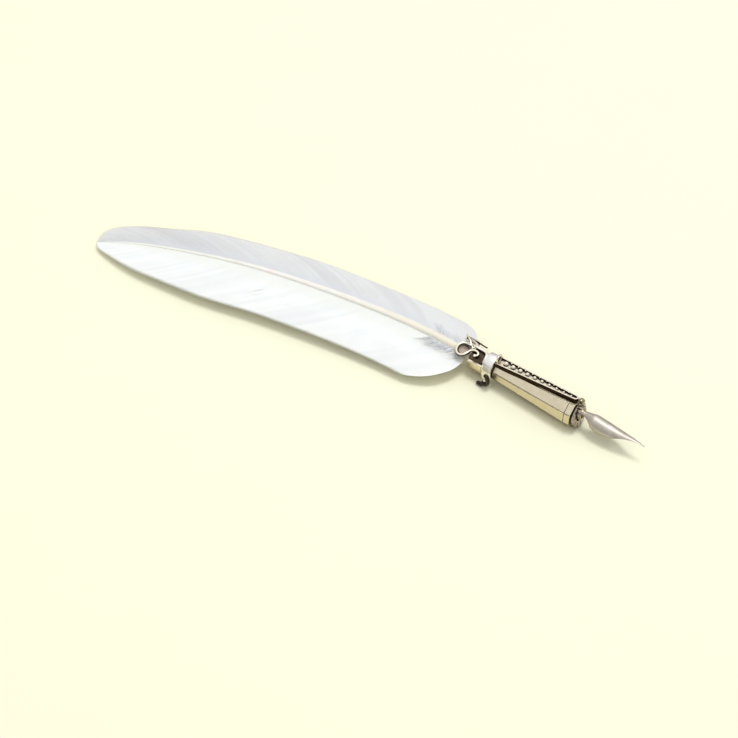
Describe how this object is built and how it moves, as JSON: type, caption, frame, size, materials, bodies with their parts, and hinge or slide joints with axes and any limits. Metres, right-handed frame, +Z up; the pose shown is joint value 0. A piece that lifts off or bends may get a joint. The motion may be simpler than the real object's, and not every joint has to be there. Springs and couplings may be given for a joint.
{
  "type": "quill pen",
  "caption": "Goose-feather dip pen with an ornamental octagonal metal holder and a pull-out pointed steel nib, lying on its collar and side scrolls.",
  "frame": {"origin": "middle of the collar's lower facet, on which the pen lies", "axes": "+X along the holder's axis towards the nib, +Z up from the table"},
  "size_m": [0.2241, 0.056, 0.0127],
  "materials": {
    "nib_steel": "smooth, silver-grey, lightly stained",
    "sleeve_brass": "plain turned brass",
    "nose_metal": "antique silver with brown patina",
    "holder_gold": "pale antique gold, brown patina in the recesses",
    "ornament_silver": "pale rims over dark brown patina",
    "pearl_cream": "cream pearls",
    "band_bright": "bright polished",
    "resin": "cured glue",
    "quill_keratin": "smooth ivory keratin",
    "feather_white": "white goose barbs",
    "feather_shade": "white goose barbs, cool grey tone"
  },
  "bodies": {
    "holder": {"socket_sleeve": "sleeve_brass", "socket_plug": "sleeve_brass", "nib_claw": "nib_steel", "nose_cap": "nose_metal", "collar_ring": "holder_gold", "barrel": "holder_gold", "neck_tube": "holder_gold", "quill_glue": "resin", "pearl_bar": "ornament_silver", "pearls": "pearl_cream", "bar_loop": "ornament_silver", "bar_scroll": "ornament_silver", "neck_band": "band_bright", "saddle": "ornament_silver", "leaf_scroll": "ornament_silver", "leaf_curl": "ornament_silver", "horn_leaf": "ornament_silver", "horn_ribbon": "ornament_silver", "side_scroll_near": "ornament_silver", "side_scroll_far": "ornament_silver", "feather_shaft": "quill_keratin", "wide_vane": "feather_white", "narrow_vane": "feather_shade"},
    "nib": {"nib": "nib_steel"}
  },
  "joints": [
    {"name": "nib_pull", "type": "slide", "parent": "holder", "child": "nib", "axis": [1, 0, 0], "range_m": [0, 0.0115]}
  ]
}
